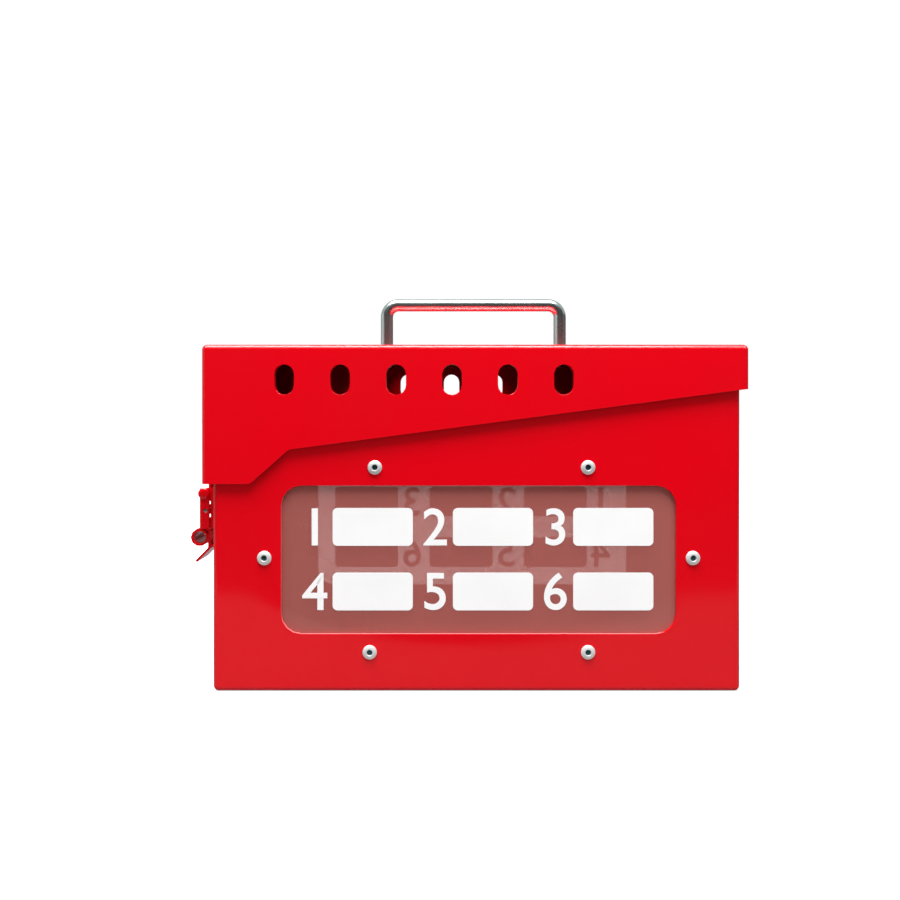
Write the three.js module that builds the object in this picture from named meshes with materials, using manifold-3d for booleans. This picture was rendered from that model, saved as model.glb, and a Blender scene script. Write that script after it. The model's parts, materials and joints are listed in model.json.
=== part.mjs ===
// Group lockout box: a folded steel box that holds keys under a hinged lid.
// Padlocks close through matching slots in the lid and the box, along both long sides.
// Millimetres, +Z up. The origin lies on the floor under the middle of the box.
// X runs from the latch end (-X) to the hinge end (+X), and Y from the front (-Y) to the back.

import * as THREE from 'three';
import { mergeVertices } from 'three/addons/utils/BufferGeometryUtils.js';
import Module from 'manifold-3d';

const wasm = await Module();
wasm.setup();

// Sheet steel
const sheet = 1.2;
const insideBend = 0.5;
const shellBend = 1;
const cornerEase = 0.3;
const bendRadius = sheet + shellBend;
const cornerRadius = bendRadius + cornerEase;

// Box
const bodyLength = 236.6;
const bodyDepth = 91;
const bodyHeight = 153.8;

// Lid, over the box
const lidRest = 0.3;
const lidSidePlay = 0.8;
const latchEndGap = 3.3;
const hingeEndGap = 2;
const deepSkirt = 62.2;
const shallowSkirt = 19.8;
const deepFlat = 21.8;
const chamferRun = 17.3;
const chamferRise = 15.3;
const skirtCornerRadius = 3;

// Padlock slots, the same in the lid and in the box
const slotCount = 6;
const slotPitch = 24.9;
const slotWidth = 8.8;
const slotLength = 13.6;
const slotDrop = 15.7;
const firstSlotInset = 32.6;
const topSlotInset = 15;

// Windows, one in each long side: a side share is a share of the steel beside the window
const windowLength = 176.8;
const windowFloor = 25.9;
const windowDrop = 0.8;
const windowShift = 0.9;
const windowCorner = 9;
const panelThickness = 2;
const panelLap = 14;
const panelSideShare = 0.51;
const panelCorner = 4;
const rivetLap = 8.1;
const rivetSideShare = 0.255;
const rivetRight = 48.9;
const upperRivetPitch = 95.3;
const lowerRivetPitch = 97.6;
const sideRivetRise = 0.8;

// Blind rivets
const rivetRadius = 1.6;
const rivetHeadRadius = 3.2;
const rivetHeadHeight = 1.1;
const rivetRimHeight = 0.4;
const rivetTailRadius = 2.5;
const rivetTailLength = 1.8;
const rivetBoreRadius = 1;
const rivetBoreDepth = 0.8;

// Small solid rivets, for the hinge and the latch
const studRadius = 1.5;
const studHeadRadius = 2.8;
const studHeadHeight = 1;
const studRimHeight = 0.3;
const studTailRadius = 2.3;
const studTailLength = 0.6;

// Carrying handle
const handleWire = 6.2;
const handleSpan = 94.4;
const handleRise = 27.3;
const handleBend = 6;
const threadRadius = 2.4;
const threadTail = 1;
const washerRadius = 5;
const washerThickness = 1;
const nutAcross = 8;
const nutHeight = 4;

// Hinge
const leafSheet = 0.9;
const hingeWidth = 60;
const hingePinRadius = 1.2;
const knuckleCount = 5;
const knuckleGap = 0.4;
const knuckleDrop = 0.5;
const bodyLeafDrop = 17.5;
const lidLeafRise = 14;
const hingeRivetCount = 3;
const hingeRivetPitch = 20;
const bodyRivetDrop = 11.5;
const lidRivetRise = 9.2;
const pinEnd = 0.8;

// Toggle latch: a drop or rise is measured from the lid's lower edge, and how far out from the end wall
const leverPivotDrop = 8.5;
const leverPivotOut = 15.6;
const crankDrop = 8.5;
const crankInset = 0.8;
const pivotRadius = 1.1;
const clawPinRadius = 1;
const earRadius = 2.5;
const earFootDrop = 26;
const earFootOut = 12.7;
const earKneeDrop = 12.5;
const basePlateDrop = 5;
const baseRivetPitch = 8;
const baseRivetDrops = [30, 10];
const shelfDrop = 35;
const leverWidth = 21.8;
const leverDepth = 5;
const leverWebOut = 18.1;
const leverWebDrop = 26;
const leverWindowDrop = 22.6;
const tabWidth = 16;
const tabOut = 13.9;
const tabKneeDrop = 36.1;
const tabFlare = 6.6;
const fingerBarRadius = 4.45;
const fingerBarBore = 3.2;
const fingerBarDrop = 30.7;
const clawWidth = 13.6;
const clawOut = 14.1;
const clawKneeDrop = 8;
const clawThroat = 4;
const clawReturn = 4;
const catchWidth = 13;
const catchRise = 8;
const catchTopRise = 26;
const catchLip = 7.3;
const catchRivetRise = 20;
const catchRivetPitch = 6.6;

// Clearances
const seat = 0.1;
const boltPlay = 0.3;
const runningGap = 0.1;
const sideGap = 0.4;
const restGap = 0.3;
const overrun = 5;
const weldLap = 0.2;

// Smoothness
const bendSteps = 5;
const cornerSteps = 5;
const roundSides = 10;
const wireSides = 16;
const wireBendSteps = 6;
const rollStep = Math.PI / 8;

// Places that follow from the sizes
const halfLength = bodyLength / 2;
const halfDepth = bodyDepth / 2;
const lidTop = bodyHeight + lidRest + sheet;
const lidUnderside = bodyHeight + lidRest;
const lidDepth = bodyDepth + 2 * (lidSidePlay + sheet);
const lidLatchEnd = -(halfLength + latchEndGap + sheet);
const lidHingeEnd = halfLength + hingeEndGap + sheet;
const lidLength = lidHingeEnd - lidLatchEnd;
const slotHeight = lidTop - slotDrop;
const slotPlaces = evenRow(slotCount, slotPitch, firstSlotInset - halfLength);
const topSlotPlace = lidDepth / 2 - topSlotInset;
const handleFeet = [-1, 1].map((side) => side * (handleSpan - handleWire) / 2);
const leafRoll = hingePinRadius + runningGap + leafSheet / 2;
const sheetFold = insideBend + sheet / 2;
const lidEdge = lidTop - deepSkirt;
const windowHeight = lidEdge - windowDrop - windowFloor;
const windowBorder = (bodyLength - windowLength) / 2 - Math.abs(windowShift);
const leverPivotHeight = lidEdge - leverPivotDrop;
const leverWebFloor = lidEdge - leverWebDrop;
const leverWindowFloor = lidEdge - leverWindowDrop;
const tabKnee = lidEdge - tabKneeDrop;
const fingerBarHeight = lidEdge - fingerBarDrop;
const clawKnee = lidEdge - clawKneeDrop;
const earsInside = leverWidth - 4 * sheet - 2 * sideGap;
const shelfHeight = lidEdge - shelfDrop;
const basePlateFloor = shelfHeight + sheetFold;
const basePlateTop = lidEdge - basePlateDrop;
const earFootHeight = lidEdge - earFootDrop;
const earKneeHeight = lidEdge - earKneeDrop;
const catchHeight = lidEdge + catchRise;
const catchTop = lidEdge + catchTopRise;
const catchRivetHeight = lidEdge + catchRivetRise;
const hingeAxis = new THREE.Vector2(
  halfLength + seat + leafSheet + hingePinRadius + runningGap,
  lidTop - shallowSkirt - knuckleDrop - leafSheet - hingePinRadius - runningGap,
);
const hingeRows = evenRow(hingeRivetCount, hingeRivetPitch, -hingeRivetPitch * (hingeRivetCount - 1) / 2);

const finishes = {
  redCoat: { color: 0xd80d1c, roughness: 0.35, metalness: 0 },
  clearPlastic: { color: 0xd9d2d0, roughness: 0.3, metalness: 0, transparent: true, opacity: 0.45 },
  brightSteel: { color: 0xc4c7ca, roughness: 0.2, metalness: 1 },
  rivetMetal: { color: 0xb9bbbd, roughness: 0.35, metalness: 1 },
};

function evenRow(count, pitch, first) {
  return Array.from({ length: count }, (_, i) => first + i * pitch);
}

// A closed solid from a geometry: only its places are kept, shared corners are merged,
// and triangles that shrink to a line, as at a pole, are dropped.
function solidOf(geometry) {
  const bare = geometry.clone();
  bare.deleteAttribute('normal');
  bare.deleteAttribute('uv');
  const merged = mergeVertices(bare);
  const kept = [];
  for (let i = 0; i < merged.index.count; i += 3) {
    const corners = [0, 1, 2].map((k) => merged.index.getX(i + k));
    if (new Set(corners).size === corners.length) {
      kept.push(...corners);
    }
  }
  const mesh = new wasm.Mesh({
    numProp: 3,
    vertProperties: new Float32Array(merged.attributes.position.array),
    triVerts: new Uint32Array(kept),
  });
  mesh.merge();
  return new wasm.Manifold(mesh);
}

function geometryOf(solid) {
  const mesh = solid.getMesh();
  const geometry = new THREE.BufferGeometry();
  geometry.setAttribute('position', new THREE.BufferAttribute(mesh.vertProperties, mesh.numProp));
  geometry.setIndex(new THREE.BufferAttribute(mesh.triVerts, 1));
  geometry.computeVertexNormals();
  return geometry;
}

function cut(stock, cutters) {
  const left = cutters.reduce((solid, cutter) => solid.subtract(solidOf(cutter)), solidOf(stock));
  return geometryOf(left);
}

function join(pieces) {
  const [first, ...others] = pieces;
  return geometryOf(others.reduce((solid, piece) => solid.add(solidOf(piece)), solidOf(first)));
}

function trim(stock, keeper) {
  return geometryOf(solidOf(stock).intersect(solidOf(keeper)));
}

// A skin over a stack of rings with the same number of points, closed at both ends.
function loft(rings) {
  const count = rings[0].length;
  const geometry = new THREE.BufferGeometry().setFromPoints(rings.flat());
  const index = [];
  for (let level = 0; level + 1 < rings.length; level += 1) {
    for (let i = 0; i < count; i += 1) {
      const low = level * count + i;
      const lowNext = level * count + (i + 1) % count;
      index.push(low, lowNext, lowNext + count, low, lowNext + count, low + count);
    }
  }
  const top = (rings.length - 1) * count;
  for (let i = 1; i + 1 < count; i += 1) {
    index.push(0, i + 1, i);
    index.push(top, top + i, top + i + 1);
  }
  geometry.setIndex(index);
  return geometry;
}

function roundedRing(halfX, halfY, radius, z) {
  const ring = [];
  const quarters = [[1, 1], [-1, 1], [-1, -1], [1, -1]];
  quarters.forEach(([sideX, sideY], quarter) => {
    for (let i = 0; i <= cornerSteps; i += 1) {
      const angle = (quarter + i / cornerSteps) * Math.PI / 2;
      const x = sideX * (halfX - radius) + radius * Math.cos(angle);
      const y = sideY * (halfY - radius) + radius * Math.sin(angle);
      ring.push(new THREE.Vector3(x, y, z));
    }
  });
  return ring;
}

// Rings up the side of a folded pan: round the bend at its floor, then straight to its rim.
function panRings(halfX, halfY, floor, rim, bend, corner) {
  const rings = [];
  for (let i = 0; i <= bendSteps; i += 1) {
    const angle = (i / bendSteps) * Math.PI / 2;
    const inset = bend * (1 - Math.sin(angle));
    const z = floor + bend * (1 - Math.cos(angle));
    rings.push(roundedRing(halfX - inset, halfY - inset, corner - inset, z));
  }
  rings.push(roundedRing(halfX, halfY, corner, rim));
  return rings;
}

function foldedPan(length, depth, height) {
  const halfX = length / 2;
  const halfY = depth / 2;
  const outside = loft(panRings(halfX, halfY, 0, height, bendRadius, cornerRadius));
  const inside = loft(panRings(
    halfX - sheet, halfY - sheet, sheet, height + overrun, shellBend, cornerRadius - sheet,
  ));
  return cut(outside, [inside]);
}

function roundedRectangle(width, height, radius) {
  const right = width / 2 - radius;
  const top = height / 2 - radius;
  const corners = [[right, top], [-right, top], [-right, -top], [right, -top]];
  return new THREE.Shape(corners.flatMap(([x, y], i) => {
    const from = i * Math.PI / 2;
    return arc(new THREE.Vector2(x, y), radius, from, from + Math.PI / 2);
  }));
}

function roundHole(x, y, radius) {
  return new THREE.Path().absarc(x, y, radius, 0, 2 * Math.PI);
}

// A flat outline given a thickness along Z, from z = 0 up.
function plate(shape, thickness) {
  return new THREE.ExtrudeGeometry(shape, {
    depth: thickness,
    bevelEnabled: false,
    curveSegments: roundSides / 2,
  });
}

// An outline drawn in X and Z, run across the box and centred on y = 0.
function across(shape, width) {
  return plate(shape, width).rotateX(Math.PI / 2).translate(0, width / 2, 0);
}

// A round bar along Y, centred on the origin.
function bar(radius, length) {
  return new THREE.CylinderGeometry(radius, radius, length, roundSides);
}

// A round bar along X, centred on the origin.
function lengthwiseBar(radius, length) {
  return bar(radius, length).rotateZ(Math.PI / 2);
}

// Points on an arc, from one angle to another.
function arc(centre, radius, from, to) {
  const steps = Math.max(2, Math.ceil(Math.abs(to - from) / rollStep));
  return Array.from({ length: steps + 1 }, (_, i) => {
    const angle = from + (to - from) * i / steps;
    return new THREE.Vector2(centre.x + radius * Math.cos(angle), centre.y + radius * Math.sin(angle));
  });
}

// A line through the given points, with its inner corners rounded to one radius.
function bentLine(points, radius) {
  return points.flatMap((point, i) => {
    if (i === 0 || i === points.length - 1) {
      return [point];
    }
    const back = points[i - 1].clone().sub(point).normalize();
    const ahead = points[i + 1].clone().sub(point).normalize();
    const half = Math.acos(THREE.MathUtils.clamp(back.dot(ahead), -1, 1)) / 2;
    const middle = back.clone().add(ahead).normalize();
    const centre = point.clone().addScaledVector(middle, radius / Math.sin(half));
    const from = point.clone().addScaledVector(back, radius / Math.tan(half)).sub(centre).angle();
    const to = point.clone().addScaledVector(ahead, radius / Math.tan(half)).sub(centre).angle();
    const turn = THREE.MathUtils.euclideanModulo(to - from + Math.PI, 2 * Math.PI) - Math.PI;
    return arc(centre, radius, from, from + turn);
  });
}

// The edge view of a folded strip: its centre line set off by half its thickness to both sides.
function stripShape(line, thickness) {
  const runs = line.slice(1).map((point, i) => point.clone().sub(line[i]).normalize());
  const sides = line.map((point, i) => {
    const arriving = runs[Math.max(i - 1, 0)];
    const leaving = runs[Math.min(i, runs.length - 1)];
    const along = arriving.clone().add(leaving).normalize();
    const normal = new THREE.Vector2(-along.y, along.x);
    const reach = thickness / 2 / along.dot(arriving);
    return [point.clone().addScaledVector(normal, reach), point.clone().addScaledVector(normal, -reach)];
  });
  const left = sides.map((pair) => pair[0]);
  const right = sides.map((pair) => pair[1]).reverse();
  return new THREE.Shape([...left, ...right]);
}

// A blind rivet along +Y: its head stands on y = 0, and its tail swells behind the sheets it holds.
function blindRivet(grip) {
  const back = -grip - seat;
  const tail = back - rivetTailLength;
  const bore = rivetHeadHeight - rivetBoreDepth;
  return new THREE.LatheGeometry([
    new THREE.Vector2(0, tail),
    new THREE.Vector2(rivetRadius, tail),
    new THREE.Vector2(rivetTailRadius, (back + tail) / 2),
    new THREE.Vector2(rivetTailRadius, back),
    new THREE.Vector2(rivetRadius, back),
    new THREE.Vector2(rivetRadius, seat),
    new THREE.Vector2(rivetHeadRadius, seat),
    new THREE.Vector2(rivetHeadRadius, rivetRimHeight),
    new THREE.Vector2((rivetHeadRadius + rivetRadius) / 2, (rivetHeadHeight + rivetRimHeight) / 2),
    new THREE.Vector2(rivetRadius, rivetHeadHeight),
    new THREE.Vector2(rivetBoreRadius, rivetHeadHeight),
    new THREE.Vector2(rivetBoreRadius, bore),
    new THREE.Vector2(0, bore),
  ], roundSides);
}

// A solid rivet along +Y, with a low domed head on y = 0 and a flat closed tail.
function solidRivet(radius, grip) {
  const back = -grip - seat;
  const spread = studHeadRadius - studRadius;
  const tailSpread = studTailRadius - studRadius;
  return new THREE.LatheGeometry([
    new THREE.Vector2(0, back - studTailLength),
    new THREE.Vector2(radius + tailSpread, back - studTailLength),
    new THREE.Vector2(radius + tailSpread, back),
    new THREE.Vector2(radius, back),
    new THREE.Vector2(radius, seat),
    new THREE.Vector2(radius + spread, seat),
    new THREE.Vector2(radius + spread, studRimHeight),
    new THREE.Vector2(radius, studHeadHeight),
    new THREE.Vector2(0, studHeadHeight),
  ], roundSides);
}

function slotShape() {
  return roundedRectangle(slotWidth, slotLength, slotWidth / 2);
}

// Cutters for the padlock slots: each one passes through the front and the back.
function sideSlotCutters() {
  return slotPlaces.map((x) => across(slotShape(), lidDepth + overrun).translate(x, 0, slotHeight));
}

function windowRivetPlaces() {
  const right = windowShift + rivetRight;
  const side = windowLength / 2 + windowBorder * rivetSideShare;
  const middle = windowFloor + windowHeight / 2 + sideRivetRise;
  const high = windowFloor + windowHeight + rivetLap;
  const low = windowFloor - rivetLap;
  return [
    [right - upperRivetPitch, high],
    [right, high],
    [windowShift - side, middle],
    [windowShift + side, middle],
    [right - lowerRivetPitch, low],
    [right, low],
  ];
}

function bodyShell() {
  const windows = across(roundedRectangle(windowLength, windowHeight, windowCorner), bodyDepth + overrun)
    .translate(windowShift, 0, windowFloor + windowHeight / 2);
  const rivetHoles = windowRivetPlaces().map(
    ([x, z]) => bar(rivetRadius + seat, bodyDepth + overrun).translate(x, 0, z),
  );
  const hingeHoles = hingeRows.map((y) => lengthwiseBar(studRadius + seat, overrun)
    .translate(halfLength, y, hingeAxis.y - bodyRivetDrop));
  const latchHoles = baseRivetPlaces().map(
    ([y, z]) => lengthwiseBar(studRadius + seat, overrun).translate(-halfLength, y, z),
  );
  return cut(foldedPan(bodyLength, bodyDepth, bodyHeight), [
    windows, ...sideSlotCutters(), ...rivetHoles, ...hingeHoles, ...latchHoles,
  ]);
}

// What is cut away under the lid's lower edge: level at the latch end, up a chamfer,
// then along a straight slope to the hinge end.
function underSkirtShape() {
  const chamferFoot = lidLatchEnd + deepFlat;
  const chamferHead = chamferFoot + chamferRun;
  const slope = (deepSkirt - chamferRise - shallowSkirt) / (lidHingeEnd - chamferHead);
  const edge = bentLine([
    new THREE.Vector2(lidLatchEnd - overrun, lidEdge),
    new THREE.Vector2(chamferFoot, lidEdge),
    new THREE.Vector2(chamferHead, lidEdge + chamferRise),
    new THREE.Vector2(lidHingeEnd + overrun, lidTop - shallowSkirt + slope * overrun),
  ], skirtCornerRadius);
  return new THREE.Shape([
    ...edge,
    new THREE.Vector2(lidHingeEnd + overrun, lidEdge - overrun),
    new THREE.Vector2(lidLatchEnd - overrun, lidEdge - overrun),
  ]);
}

function lidShell() {
  const pan = foldedPan(lidLength, lidDepth, deepSkirt + overrun / 2)
    .rotateX(Math.PI)
    .translate((lidHingeEnd + lidLatchEnd) / 2, 0, lidTop);
  const topSlots = slotPlaces.flatMap((x) => [-1, 1].map((side) => plate(slotShape(), sheet + overrun)
    .translate(x, side * topSlotPlace, lidUnderside - overrun / 2)));
  const handleHoles = handleFeet.map((x) => bar(threadRadius + boltPlay, sheet + overrun)
    .rotateX(Math.PI / 2)
    .translate(x, 0, lidTop));
  const hingeHoles = hingeRows.map((y) => lengthwiseBar(studRadius + seat, overrun)
    .translate(lidHingeEnd, y, hingeAxis.y + lidRivetRise));
  const catchHoles = catchRivetPlaces().map(
    (y) => lengthwiseBar(studRadius + seat, overrun).translate(lidLatchEnd, y, catchRivetHeight),
  );
  return cut(pan, [
    across(underSkirtShape(), lidDepth + overrun),
    ...sideSlotCutters(), ...topSlots, ...handleHoles, ...hingeHoles, ...catchHoles,
  ]);
}

function windowPanel() {
  const length = windowLength + 2 * windowBorder * panelSideShare;
  const shape = roundedRectangle(length, windowHeight + 2 * panelLap, panelCorner);
  const middle = windowFloor + windowHeight / 2;
  const holes = windowRivetPlaces().map(
    ([x, z]) => bar(rivetRadius + seat, panelThickness + overrun).translate(x - windowShift, 0, z - middle),
  );
  return cut(across(shape, panelThickness), holes);
}

// The handle's wire: round rings carried along its bent centre line.
function handle() {
  const radius = handleWire / 2;
  const side = handleFeet[1];
  const foot = lidTop + seat;
  const top = lidTop + handleRise - radius;
  const corners = [
    new THREE.Vector2(-side, foot),
    new THREE.Vector2(-side, top),
    new THREE.Vector2(side, top),
    new THREE.Vector2(side, foot),
  ];
  const bends = corners.slice(1, -1).flatMap((corner, i) => {
    const centre = new THREE.Vector2(corner.x - Math.sign(corner.x) * handleBend, corner.y - handleBend);
    const from = i === 0 ? Math.PI : Math.PI / 2;
    return Array.from({ length: wireBendSteps + 1 }, (_, step) => {
      const angle = from - (step / wireBendSteps) * Math.PI / 2;
      const place = new THREE.Vector2(Math.cos(angle), Math.sin(angle)).multiplyScalar(handleBend).add(centre);
      return { place, outward: new THREE.Vector2(Math.cos(angle), Math.sin(angle)) };
    });
  });
  const stations = [
    { place: corners[0], outward: new THREE.Vector2(-1, 0) },
    ...bends,
    { place: corners[3], outward: new THREE.Vector2(1, 0) },
  ];
  const wire = loft(stations.map(({ place, outward }) => Array.from({ length: wireSides }, (_, i) => {
    const angle = (i / wireSides) * 2 * Math.PI;
    const spread = radius * Math.cos(angle);
    return new THREE.Vector3(
      place.x + outward.x * spread, -radius * Math.sin(angle), place.y + outward.y * spread,
    );
  })));
  const threadFloor = lidUnderside - washerThickness - nutHeight - threadTail - 2 * seat;
  const threads = handleFeet.map((x) => bar(threadRadius, foot + weldLap - threadFloor)
    .rotateX(Math.PI / 2)
    .translate(x, 0, (foot + weldLap + threadFloor) / 2));
  return join([wire, ...threads]);
}

function washer() {
  const shape = new THREE.Shape().absarc(0, 0, washerRadius, 0, 2 * Math.PI);
  shape.holes.push(roundHole(0, 0, threadRadius + boltPlay));
  return plate(shape, washerThickness);
}

function nut() {
  const reach = nutAcross / 2 / Math.cos(Math.PI / 6);
  const corners = evenRow(6, Math.PI / 3, 0).map(
    (angle) => new THREE.Vector2(reach * Math.cos(angle), reach * Math.sin(angle)),
  );
  const shape = new THREE.Shape(corners);
  shape.holes.push(roundHole(0, 0, threadRadius + boltPlay));
  return plate(shape, nutHeight);
}

// The room that the other leaf's knuckles need, at every second knuckle.
function knuckleNotches(firstTaken) {
  const knuckle = hingeWidth / knuckleCount;
  const reach = hingePinRadius + runningGap + leafSheet + restGap;
  const height = 2 * reach;
  return evenRow(knuckleCount, knuckle, (knuckle - hingeWidth) / 2)
    .filter((_, i) => i % 2 === firstTaken)
    .map((y) => new THREE.BoxGeometry(2 * reach, knuckle + knuckleGap, height)
      .translate(hingeAxis.x, y, hingeAxis.y));
}

// A hinge leaf: a flat strip whose edge is rolled round the pin.
function hingeLeaf(line, firstTaken, rivetX, rivetZ) {
  const holes = hingeRows.map((y) => lengthwiseBar(studRadius + seat, overrun).translate(rivetX, y, rivetZ));
  return cut(across(stripShape(line, leafSheet), hingeWidth), [...knuckleNotches(firstTaken), ...holes]);
}

function bodyLeaf() {
  const x = hingeAxis.x - leafRoll;
  const line = [
    new THREE.Vector2(x, hingeAxis.y - bodyLeafDrop),
    ...arc(hingeAxis, leafRoll, Math.PI, -Math.PI / 2),
  ];
  return hingeLeaf(line, 1, x, hingeAxis.y - bodyRivetDrop);
}

// The lid's leaf: up between the lid's end flange and the box, and stepped in to its roll.
function lidLeaf() {
  const x = lidHingeEnd - sheet - seat - leafSheet / 2;
  const joggle = new THREE.Vector2(x, lidTop - shallowSkirt + leafSheet / 2);
  const reach = joggle.clone().sub(hingeAxis);
  const touch = reach.angle() + Math.acos(leafRoll / reach.length());
  const line = [
    new THREE.Vector2(x, hingeAxis.y + lidLeafRise),
    joggle,
    ...arc(hingeAxis, leafRoll, touch, Math.PI * 5 / 2 - rollStep),
  ];
  return hingeLeaf(line, 0, x, hingeAxis.y + lidRivetRise);
}

function hingePin() {
  return bar(hingePinRadius, hingeWidth + 2 * pinEnd).translate(hingeAxis.x, 0, hingeAxis.y);
}

// A point beside the latch end: how far out from the end wall, and how high.
function beside(out, height) {
  return new THREE.Vector2(-halfLength - out, height);
}

function leverPivot() {
  return beside(leverPivotOut, leverPivotHeight);
}

function clawPivot() {
  return beside(leverPivotOut - crankInset, leverPivotHeight - crankDrop);
}

function baseRivetPlaces() {
  return baseRivetDrops.flatMap(
    (drop) => [-1, 1].map((side) => [side * baseRivetPitch / 2, lidEdge - drop]),
  );
}

function catchRivetPlaces() {
  return [-1, 1].map((side) => side * catchRivetPitch / 2);
}

// A channel folded round a flat back at x = back, its two cheeks reaching to x = tips.
function channel(back, tips, width, floor, top) {
  const side = (width - sheet) / 2;
  const line = bentLine([
    new THREE.Vector2(tips, -side),
    new THREE.Vector2(back, -side),
    new THREE.Vector2(back, side),
    new THREE.Vector2(tips, side),
  ], sheetFold);
  return plate(stripShape(line, sheet), top - floor).translate(0, 0, floor);
}

// The side view of the latch's base: a full-height foot on the wall, and ears with a nose at the pivot.
function baseSideShape() {
  const pivot = leverPivot();
  const foot = sheet + seat + insideBend;
  const nose = arc(pivot, earRadius, Math.PI * 3 / 2, Math.PI / 2);
  return new THREE.Shape([
    beside(-overrun, basePlateTop),
    beside(foot, basePlateTop),
    ...nose.reverse(),
    beside(earFootOut, earKneeHeight),
    beside(earFootOut, earFootHeight),
    beside(foot, earFootHeight),
    beside(foot, basePlateFloor),
    beside(-overrun, basePlateFloor),
  ]);
}

function latchBase() {
  const back = beside(seat + sheet / 2, 0).x;
  const tips = beside(leverPivotOut + earRadius, 0).x;
  const ears = trim(
    channel(back, tips, earsInside + 2 * sheet, basePlateFloor, basePlateTop),
    across(baseSideShape(), earsInside + 2 * sheet + overrun),
  );
  const shelf = across(stripShape(bentLine([
    beside(seat + sheet / 2, shelfHeight + overrun),
    beside(seat + sheet / 2, shelfHeight),
    beside(tabOut - sheet / 2 - restGap, shelfHeight),
  ], sheetFold), sheet), tabWidth);
  const pivotHole = bar(pivotRadius + seat, earsInside + overrun)
    .translate(leverPivot().x, 0, leverPivot().y);
  const rivetHoles = baseRivetPlaces().map(
    ([y, z]) => lengthwiseBar(studRadius + seat, overrun).translate(back, y, z),
  );
  return cut(join([ears, shelf]), [pivotHole, ...rivetHoles]);
}

// The side view of the lever's cheeks, rounded over the pivot.
function leverSideShape() {
  const pivot = leverPivot();
  const inner = leverWebOut - leverDepth;
  const radius = leverPivotOut - inner;
  return new THREE.Shape([
    beside(leverWebOut + overrun, leverWebFloor),
    beside(leverWebOut + overrun, leverPivotHeight + radius),
    ...arc(pivot, radius, Math.PI / 2, 0),
    beside(inner, leverWebFloor + sheet),
    beside(inner + sheet, leverWebFloor),
  ]);
}

function latchLever() {
  const back = beside(leverWebOut - sheet / 2, 0).x;
  const tips = beside(leverWebOut - leverDepth, 0).x;
  const pivot = leverPivot();
  const claw = clawPivot();
  const top = leverPivotHeight + leverDepth;
  const cheeks = trim(
    channel(back, tips, leverWidth, leverWebFloor, top),
    across(leverSideShape(), leverWidth + overrun),
  );
  const tab = across(stripShape(bentLine([
    beside(leverWebOut - sheet / 2, leverWindowFloor - weldLap),
    beside(leverWebOut - sheet / 2, leverWebFloor + sheet),
    beside(tabOut, fingerBarHeight + fingerBarRadius - sheet),
    beside(tabOut, tabKnee),
    beside(tabOut + tabFlare, tabKnee - tabFlare),
  ], sheetFold), sheet), tabWidth);
  const barCentre = beside(tabOut + sheet / 2 - weldLap + fingerBarRadius, fingerBarHeight);
  const ring = new THREE.Shape().absarc(barCentre.x, barCentre.y, fingerBarRadius, 0, 2 * Math.PI);
  ring.holes.push(roundHole(barCentre.x, barCentre.y, fingerBarBore));
  const openingHeight = top - leverWindowFloor;
  const opening = new THREE.BoxGeometry(overrun, leverWidth - 2 * sheet, openingHeight)
    .translate(back, 0, leverWindowFloor + openingHeight / 2);
  return cut(join([cheeks, tab, across(ring, tabWidth)]), [
    opening,
    bar(pivotRadius + seat, leverWidth + overrun).translate(pivot.x, 0, pivot.y),
    bar(clawPinRadius + seat, leverWidth + overrun).translate(claw.x, 0, claw.y),
  ]);
}

// The claw: rolled round its pin, up past the pivot, and hooked over the catch's lip.
function latchClaw() {
  const pin = clawPivot();
  const roll = clawPinRadius + runningGap + sheet / 2;
  const hookRadius = (clawThroat + sheet) / 2;
  const hookHeight = catchHeight + sheet / 2 + catchLip + restGap - clawThroat / 2 + weldLap;
  const hookCentre = beside(clawOut - hookRadius, hookHeight);
  const strapOut = leverPivotOut - crankInset - roll;
  const strap = bentLine([
    beside(strapOut, pin.y + roll),
    beside(strapOut, clawKnee - (clawOut - strapOut)),
    beside(clawOut, clawKnee),
    beside(clawOut, hookHeight - sheet),
  ], sheetFold);
  const line = [
    ...arc(pin, roll, Math.PI / 2, Math.PI * 2),
    ...strap,
    ...arc(hookCentre, hookRadius, Math.PI, 0),
    beside(clawOut - 2 * hookRadius, hookHeight - clawReturn + sheet),
  ];
  return across(stripShape(line, sheet), clawWidth);
}

// The catch on the lid: a strip folded out from the flange and up into a lip.
function latchCatch() {
  const foot = latchEndGap + sheet + seat + sheet / 2;
  const lipOut = clawOut - sheet - (clawThroat - sheet) * 2 / 5;
  const line = bentLine([
    beside(foot, catchTop),
    beside(foot, catchHeight),
    beside(lipOut, catchHeight),
    beside(lipOut, catchHeight + sheet / 2 + catchLip),
  ], sheetFold);
  const holes = catchRivetPlaces().map((y) => lengthwiseBar(studRadius + seat, overrun)
    .translate(beside(foot, 0).x, y, catchRivetHeight));
  return cut(across(stripShape(line, sheet), catchWidth), holes);
}

function clawPin() {
  return bar(clawPinRadius, leverWidth - 2 * seat).translate(clawPivot().x, 0, clawPivot().y);
}

const assembly = new THREE.Group();
const bodyGroup = new THREE.Group();
const lidGroup = new THREE.Group();
const latchGroup = new THREE.Group();
assembly.add(bodyGroup, lidGroup, latchGroup);

function addPiece(group, name, geometry, finish) {
  const mesh = new THREE.Mesh(geometryOf(solidOf(geometry)), new THREE.MeshStandardMaterial(finishes[finish]));
  mesh.name = name;
  group.add(mesh);
  return mesh;
}

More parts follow.
